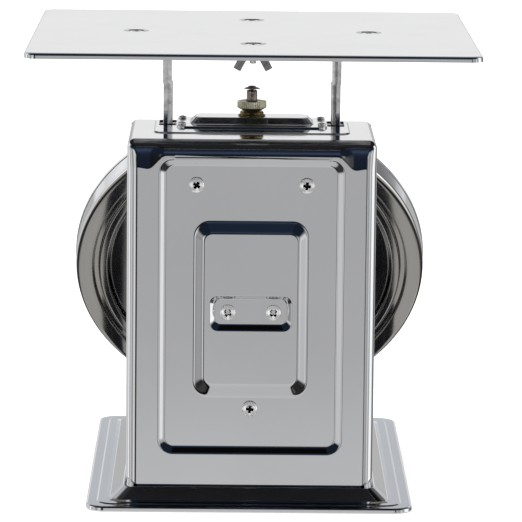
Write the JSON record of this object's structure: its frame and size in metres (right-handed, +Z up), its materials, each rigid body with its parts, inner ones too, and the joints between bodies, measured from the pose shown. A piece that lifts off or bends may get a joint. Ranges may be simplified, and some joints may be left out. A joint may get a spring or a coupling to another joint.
{
  "type": "spring dial platform scale",
  "caption": "Polished steel spring-dial bench scale: wedge housing on a pressed base, square platform on two posts, tilted round dial.",
  "frame": {"origin": "centre of the footprint, on the surface that the scale stands on", "axes": "+Z up; the plain back faces -Y and the dial faces +Y; +X to the right of someone looking at the back"},
  "size_m": [0.24, 0.272, 0.2499],
  "materials": {
    "polished_stainless": "mirror-polished stainless sheet",
    "zinc_steel": "bright zinc plate",
    "spring_steel": "drawn spring wire",
    "brass": "machined",
    "bronze": "dark, oiled",
    "dial_enamel": "white satin enamel",
    "pointer_paint": "red satin paint",
    "black_plastic": "moulded",
    "glass": "clear flat glass",
    "rubber": "moulded black rubber"
  },
  "bodies": {
    "housing": {"base_plate": "polished_stainless", "rubber_foot_1": "rubber", "rubber_foot_2": "rubber", "rubber_foot_3": "rubber", "rubber_foot_4": "rubber", "rear_housing": "polished_stainless", "front_panel": "polished_stainless", "frame_screw_1": "zinc_steel", "frame_screw_2": "zinc_steel", "frame_screw_3": "zinc_steel", "damper_screw_1": "zinc_steel", "damper_screw_2": "zinc_steel", "adjuster_cover": "polished_stainless", "cover_screw_1": "zinc_steel", "cover_screw_2": "zinc_steel", "cover_screw_3": "zinc_steel", "cover_screw_4": "zinc_steel", "adjuster_collar": "brass", "upper_bracket": "zinc_steel", "lower_bracket": "zinc_steel", "upper_link_pin": "zinc_steel", "lower_link_pin": "zinc_steel", "damper_cylinder": "zinc_steel", "dial_bridge": "zinc_steel", "pinion_bush": "brass", "dial_case": "polished_stainless", "dial_plate": "dial_enamel", "dial_glass": "glass", "dial_bezel": "polished_stainless"},
    "adjuster_nut": {"adjuster_nut": "brass"},
    "spring_hanger": {"adjuster_spindle": "bronze", "spring_hanger": "zinc_steel", "spring_left": "spring_steel", "spring_right": "spring_steel"},
    "load": {"platform": "polished_stainless", "spider": "zinc_steel", "platform_screw_1": "zinc_steel", "platform_screw_2": "zinc_steel", "platform_screw_3": "zinc_steel", "platform_screw_4": "zinc_steel", "wing_nut_1": "zinc_steel", "wing_nut_2": "zinc_steel", "wing_nut_3": "zinc_steel", "wing_nut_4": "zinc_steel", "post_left": "zinc_steel", "post_right": "zinc_steel", "stirrup": "zinc_steel", "damper_piston": "zinc_steel", "upper_link_stud_left": "zinc_steel", "upper_link_stud_right": "zinc_steel", "lower_link_stud_left": "zinc_steel", "lower_link_stud_right": "zinc_steel"},
    "rack": {"rack": "brass"},
    "pointer": {"pinion": "brass", "pointer": "pointer_paint", "pointer_cap": "black_plastic"},
    "upper_links": {"upper_link_left": "zinc_steel", "upper_link_right": "zinc_steel"},
    "lower_links": {"lower_link_left": "zinc_steel", "lower_link_right": "zinc_steel"}
  },
  "joints": [
    {"name": "load_slide", "type": "slide", "parent": "housing", "child": "load", "axis": [0, 0, -1], "range_m": [0, 0.0163], "stiffness_N_per_m": 6000, "springref_m": -0.0016, "deforming": ["spring_left", "spring_right"]},
    {"name": "rack_slide", "type": "slide", "parent": "housing", "child": "rack", "axis": [0, 0.5, -0.866], "range_m": [0, 0.0189]},
    {"name": "pointer_turn", "type": "hinge", "parent": "housing", "child": "pointer", "pos_m": [0, 0.0588, 0.1044], "axis": [0, -0.866, -0.5], "range_deg": [0, 361]},
    {"name": "upper_link_swing", "type": "hinge", "parent": "housing", "child": "upper_links", "pos_m": [0, -0.074, 0.152], "axis": [-1, 0, 0], "range_deg": [0, 16.3]},
    {"name": "lower_link_swing", "type": "hinge", "parent": "housing", "child": "lower_links", "pos_m": [0, -0.074, 0.0918], "axis": [-1, 0, 0], "range_deg": [0, 16.3]},
    {"name": "hanger_slide", "type": "slide", "parent": "housing", "child": "spring_hanger", "axis": [0, 0, 1], "range_m": [-0.002, 0.002]},
    {"name": "adjuster_turn", "type": "hinge", "parent": "housing", "child": "adjuster_nut", "pos_m": [0, -0.016, 0.208], "axis": [0, 0, 1], "range_deg": [-722, 722]}
  ],
  "couplings": [
    {"joint": "rack_slide", "follows": "load_slide", "ratio": 1.1547},
    {"joint": "pointer_turn", "follows": "load_slide", "rad_per_m": 384.9},
    {"joint": "upper_link_swing", "follows": "load_slide", "rad_per_m": 17.241},
    {"joint": "lower_link_swing", "follows": "load_slide", "rad_per_m": 17.241},
    {"joint": "adjuster_turn", "follows": "hanger_slide", "rad_per_m": 6283.2}
  ]
}
